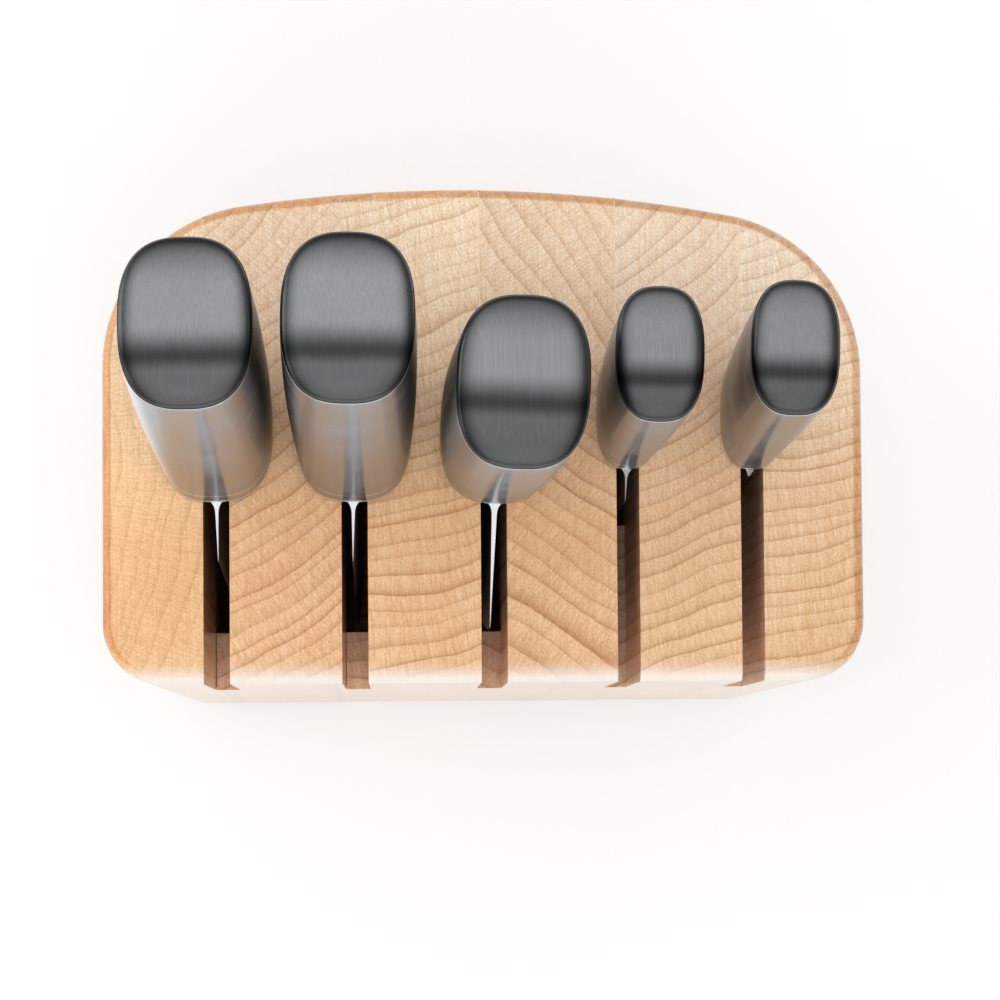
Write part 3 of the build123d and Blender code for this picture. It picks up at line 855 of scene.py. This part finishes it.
def cap_material(kind):
    """Dark brushed steel, scratched from front to back, with a painted reflection: a darker band lies across it
    in front of the middle, and the part in front of the band is darker than the part behind it. Towards the rim
    the plate turns away, and painted shade darkens it more on its narrow sides than at its ends, while its
    front edge gets a painted lift of light."""
    cap = CAP_SHADES[kind]
    material = steel_material(f"{kind}_cap_steel", CAP_COLOR, 0.30, (7.0, 0.07, 7.0), 0.30, 0.16)
    tree, shader, color = parts_of(material)
    across, depth = place_in_uv(tree)
    sides = [math(tree, "ABSOLUTE", math(tree, "MULTIPLY_ADD", value, 2.0, -1.0)) for value in (across, depth)]
    powers = [math(tree, "POWER", value, OVAL_POWER) for value in sides]
    out = math(tree, "POWER", math(tree, "ADD", *powers), 1 / OVAL_POWER)
    wave = math(tree, "SUBTRACT", noise(tree, place_in_mm(tree), 0.25), 0.5)
    line = math(tree, "MULTIPLY_ADD", wave, BAND_WAVE, depth)
    behind = smooth(tree, line, cap["band"], cap["band"] + BAND_WIDTH, BAND_REFLECTION_TONE, 1.0)
    before = smooth(tree, line, cap["band"] - 0.01, cap["band"] - 0.10, 0.0, FRONT_REFLECTION_TONE)
    # painted reflection in the band, painted shade towards the back and the rim, and a painted lift of light at
    # the front edge
    tone = product(tree, math(tree, "ADD", behind, before), cap["tone"],
                   smooth(tree, depth, 0.70, 1.0, 1.0, cap["back_low"]),
                   smooth(tree, depth, 0.14, 0.02, 1.0, 1.45),
                   smooth(tree, sides[0], cap["side_from"], 1.0, 1.0, cap["side_low"]),
                   smooth(tree, out, 0.76, 1.0, 1.0, 0.6))
    tone = join(tree, tone, tone, tone)
    tree.links.new(blend_color(tree, 1.0, color, tone, "MULTIPLY"), shader.inputs["Base Color"])
    return material


# %% [markdown]
# The handles are brushed round their girth. Such scratches draw a reflection out along the handle, and
# keep it sharp across: the slot and the neck of the blade show in the handle as one long streak. The
# shader's Anisotropic value does this, along a tangent that comes from the shell's UV map.

# %% Handle steel
HANDLE_COLOR = (0.40, 0.425, 0.45)
SEAM_PLACE, SEAM_HALF = 0.066, 0.004
SEAM_HIGHLIGHT = (0.92, 0.93, 0.94, 1)
RIM_SHADE, RIM_HIGHLIGHT = (0.08, 0.08, 0.082, 1), (0.78, 0.78, 0.78, 1)
# painted reflection on the sides: darker where a side faces another knife, and a painted highlight with a
# whiter tint on the bread knife's left side
RIGHT_SIDE_REFLECTION = dict(start=0.5, full=0.96, share=0.55, color=(0.10, 0.10, 0.102, 1))
LEFT_SIDE_HIGHLIGHT = dict(start=0.5, full=0.9, share=0.74, color=(0.95, 0.91, 0.86, 1), tint=(0.89, 0.90, 0.92, 1))
LEFT_SIDE_REFLECTION = dict(start=0.3, full=0.9, share=0.5, color=(0.16, 0.15, 0.145, 1), tint=(0.81, 0.83, 0.86, 1))
LEFT_SIDE_PAINT = dict.fromkeys(KNIFE_NAMES, LEFT_SIDE_REFLECTION) | {"bread": LEFT_SIDE_HIGHLIGHT}


def handle_material(name):
    """Satin steel brushed round the girth, so a reflection is drawn out along the handle but stays sharp across
    it. A fine bright line, a painted highlight, marks the seam of the collar above the shoulder. The sides are
    painted darker than the front, a painted reflection of the knife that they face, but the bread knife's left
    side is painted bright, a painted highlight with a whiter tint. The thin upper rim is painted dark as shade,
    with a painted highlight in front."""
    left_paint = LEFT_SIDE_PAINT[name]
    material = steel_material(f"{name}_handle_steel", HANDLE_COLOR, 0.22, (5.0, 5.0, 14.0), 0.06, 0.16,
                              Anisotropic=0.8, Specular_Tint=left_paint["tint"])
    tree, shader, color = parts_of(material)
    tangent = add(tree, "ShaderNodeTangent", direction_type="UV_MAP", uv_map="UVMap")
    tree.links.new(tangent.outputs[0], shader.inputs["Tangent"])
    along, _ = place_in_uv(tree)
    # painted highlight: a fine bright line marks the seam of the collar
    color = blend_color(tree, math(tree, "COMPARE", along, SEAM_PLACE, SEAM_HALF), color, SEAM_HIGHLIGHT)
    right, back, up = facing(tree)
    left = math(tree, "MULTIPLY", right, -1.0)
    # each side gets its painted reflection or painted highlight
    for direction, side in ((right, RIGHT_SIDE_REFLECTION), (left, left_paint)):
        share = smooth(tree, direction, side["start"], side["full"], 0.0, side["share"])
        color = blend_color(tree, share, color, side["color"])
    # painted shade on the thin upper rim, with a painted highlight where it faces forward
    rim_shade_and_highlight = blend_color(tree, smooth(tree, back, -0.04, -0.30), RIM_SHADE, RIM_HIGHLIGHT)
    color = blend_color(tree, smooth(tree, up, 0.15, 0.4), color, rim_shade_and_highlight)
    tree.links.new(color, shader.inputs["Base Color"])
    return material


# %% [markdown]
# Blades are ground bright, and below the neck their edge is painted dark, as shade, so it shows no reflection.
# It is the only face that looks straight ahead below the neck, so its direction and height find it.

# %% Blade steel
BLADE_COLOR = (0.60, 0.61, 0.62)
EDGE_SHADE = (0.03, 0.03, 0.03, 1)
EDGE_SHADE_BELOW = 2.6


def blade_material():
    """Ground steel whose edge is painted dark as shade: below the neck, the edge itself faces forward and is
    painted dark, so it shows no reflection.
    """
    material = steel_material("ground_blade_steel", BLADE_COLOR, 0.20, (6.0, 0.25, 9.0), 0.10)
    tree, shader, color = parts_of(material)
    height = split(tree, place_in_mm(tree))[2]
    back = facing(tree, "True Normal")[1]
    # painted shade: the forward face below the top of the block is painted dark
    edge = product(tree, math(tree, "LESS_THAN", height, TOP - EDGE_SHADE_BELOW), math(tree, "LESS_THAN", back, -0.5))
    tree.links.new(blend_color(tree, edge, color, EDGE_SHADE), shader.inputs["Base Color"])
    return material


# %% [markdown]
# With the finishes made, each piece gets its own. The bolsters are polished, and the screws under the
# block are zinc plated.

# %% Dress the steel
handle_steels = {name: handle_material(name) for name in KNIFE_NAMES}
bolster_steel = steel_material("polished_bolster_steel", (0.66, 0.665, 0.67), 0.14, (2.0, 2.0, 8.0), 0.05)
cap_steels = {kind: cap_material(kind) for kind in CAP_SHADES}
blade_steel = blade_material()
screw_steel = steel_material("zinc_screw_steel", (0.58, 0.58, 0.57), 0.34, (3.0, 3.0, 3.0), 0.2)
for name in KNIFE_NAMES:
    dress(handle_pieces[name], handle_steels[name])
    dress(cap_pieces[name], cap_steels[CAP_KINDS[name]])
    dress(blade_pieces[name], blade_steel)
    dress(bolster_pieces[name], bolster_steel)
dress(nodes["foot_screws"], screw_steel)
print("steel dressed", [material.name for material in (*handle_steels.values(), bolster_steel, blade_steel)])

# %% [markdown]
# ## Feet
# Four black rubber feet keep the block off the table. Rubber is rough and a little mottled, which one
# noise gives for its colour, its roughness and its bump alike.

# %% Rubber feet
RUBBER_TONES = ((0.022, 0.022, 0.023, 1), (0.05, 0.05, 0.052, 1))
rubber, tree, shader = new_material("foot_rubber", Specular_IOR_Level=0.3)
rubber_tone = noise(tree, place_in_mm(tree), 1.6, 4.0, 0.7)
tree.links.new(blend_color(tree, rubber_tone, *RUBBER_TONES), shader.inputs["Base Color"])
tree.links.new(smooth(tree, rubber_tone, 0.3, 0.7, 0.62, 0.85), shader.inputs["Roughness"])
emboss(tree, shader, rubber_tone, 0.3, 0.0001)
dress(nodes["rubber_feet"], rubber)
print("feet dressed")

# %% [markdown]
# ## Floor
# The photograph is a plain studio shot on white. The floor is a white plane that takes the shadow, and
# for rays from the camera and from the steel it is mixed with a plain white glow of strength 1. So the
# ground looks white, also in the handles, without more light on the object.

# %% Floor
FLOOR_HALF = 12.0
FLOOR_GLOW = 0.49
floor_mesh = bpy.data.meshes.new("floor")
floor_corners = np.array([[-1, -1, 0], [1, -1, 0], [1, 1, 0], [-1, 1, 0]]) * FLOOR_HALF
floor_mesh.from_pydata(floor_corners, [], [(0, 1, 2, 3)])
floor = bpy.data.objects.new("floor", floor_mesh)
bpy.context.scene.collection.objects.link(floor)
floor_paint, tree, shader = new_material("white_floor", Roughness=0.6, Specular_IOR_Level=0.2,
                                         Base_Color=(0.93, 0.93, 0.93, 1))
path = add(tree, "ShaderNodeLightPath").outputs
seen = math(tree, "MAXIMUM", path["Is Camera Ray"], path["Is Glossy Ray"])
glow = add(tree, "ShaderNodeEmission", {"Strength": 1.0})
mix_inputs = {0: math(tree, "MULTIPLY", seen, FLOOR_GLOW), 1: shader.outputs[0], 2: glow.outputs[0]}
mix = add(tree, "ShaderNodeMixShader", mix_inputs)
tree.links.new(mix.outputs[0], tree.nodes["Material Output"].inputs["Surface"])
dress(floor, floor_paint)
print("floor", 2 * FLOOR_HALF, "m wide")

# %% [markdown]
# ## Light
# One large soft light hangs overhead, towards the back and a little to the left, and the crowned ends of
# the handles catch it on their back halves. A smaller key light hangs near the camera and lights the wood
# between the handles, which would shade it from the others. It is hidden from reflections, so it leaves
# no spot in the steel. Weaker lamps stand in front and on the left. Large lamps give soft shadows, and
# the even grey of the world fills what is left.

# %% Light
WORLD_LIGHT = 0.38
LAMPS = {
    "overhead_softbox": dict(place=(-0.15, 0.58, 1.70), aim=(-0.15, 0.58, 0.0), size=(2.2, 1.75), power=13.5),
    "key_light": dict(place=(0.05, -0.15, 1.9), aim=(0.0, 0.0, 0.23), size=(0.5, 0.5), power=7.6),
    "front_softbox": dict(place=(0.1, -0.95, 1.65), aim=(0.1, -0.95, 0.0), size=(1.8, 1.2), power=7.0),
    "front_fill": dict(place=(0.1, -1.9, 0.7), aim=(0.0, 0.0, 0.1), size=(2.0, 0.9), power=8.5),
    "left_softbox": dict(place=(-1.6, 0.1, 0.7), aim=(0.0, 0.0, 0.3), size=(1.2, 0.9), power=9.0),
}


def soft_light(name, place, aim, size, power):
    """A rectangular area light at a place, turned towards a point, in watts."""
    lamp = bpy.data.lights.new(name, "AREA")
    lamp.shape = "RECTANGLE"
    lamp.size, lamp.size_y = size
    lamp.energy = power
    holder = bpy.data.objects.new(name, lamp)
    direction = np.array(aim) - np.array(place)
    holder.location = place
    holder.rotation_euler = Vector(direction).to_track_quat("-Z", "Y").to_euler()
    bpy.context.scene.collection.objects.link(holder)
    return holder


lamps = {name: soft_light(name, **lamp) for name, lamp in LAMPS.items()}
lamps["key_light"].visible_glossy = False
world = bpy.data.worlds.new("studio")
bpy.context.scene.world = world
world.use_nodes = True
tree = world.node_tree
backdrop = tree.nodes["Background"]
backdrop.inputs["Color"].default_value = (1, 1, 1, 1)
from_camera = add(tree, "ShaderNodeLightPath").outputs["Is Camera Ray"]
strength = math(tree, "MULTIPLY_ADD", from_camera, 1.0 - WORLD_LIGHT, WORLD_LIGHT)
tree.links.new(strength, backdrop.inputs["Strength"])
bpy.context.scene.view_settings.view_transform = "Standard"
print("lamps", list(lamps))

# %% [markdown]
# ## Camera
# The photograph was taken from almost straight above, a little in front, with a long lens: the handles
# lean outwards from a point near the middle of the picture, and that point gives the camera's place.

# %% Camera
camera_data = bpy.data.cameras.new("photo_camera")
camera_data.sensor_width = 36.0
camera_data.lens = 153.82
camera = bpy.data.objects.new("photo_camera", camera_data)
camera.location = (-0.01706, -0.06932, 1.10674)
camera.rotation_mode = "ZYX"
camera.rotation_euler = np.radians((3.64, -1.338, -0.36))
bpy.context.scene.collection.objects.link(camera)
bpy.context.scene.camera = camera
print("camera", tuple(camera.location))
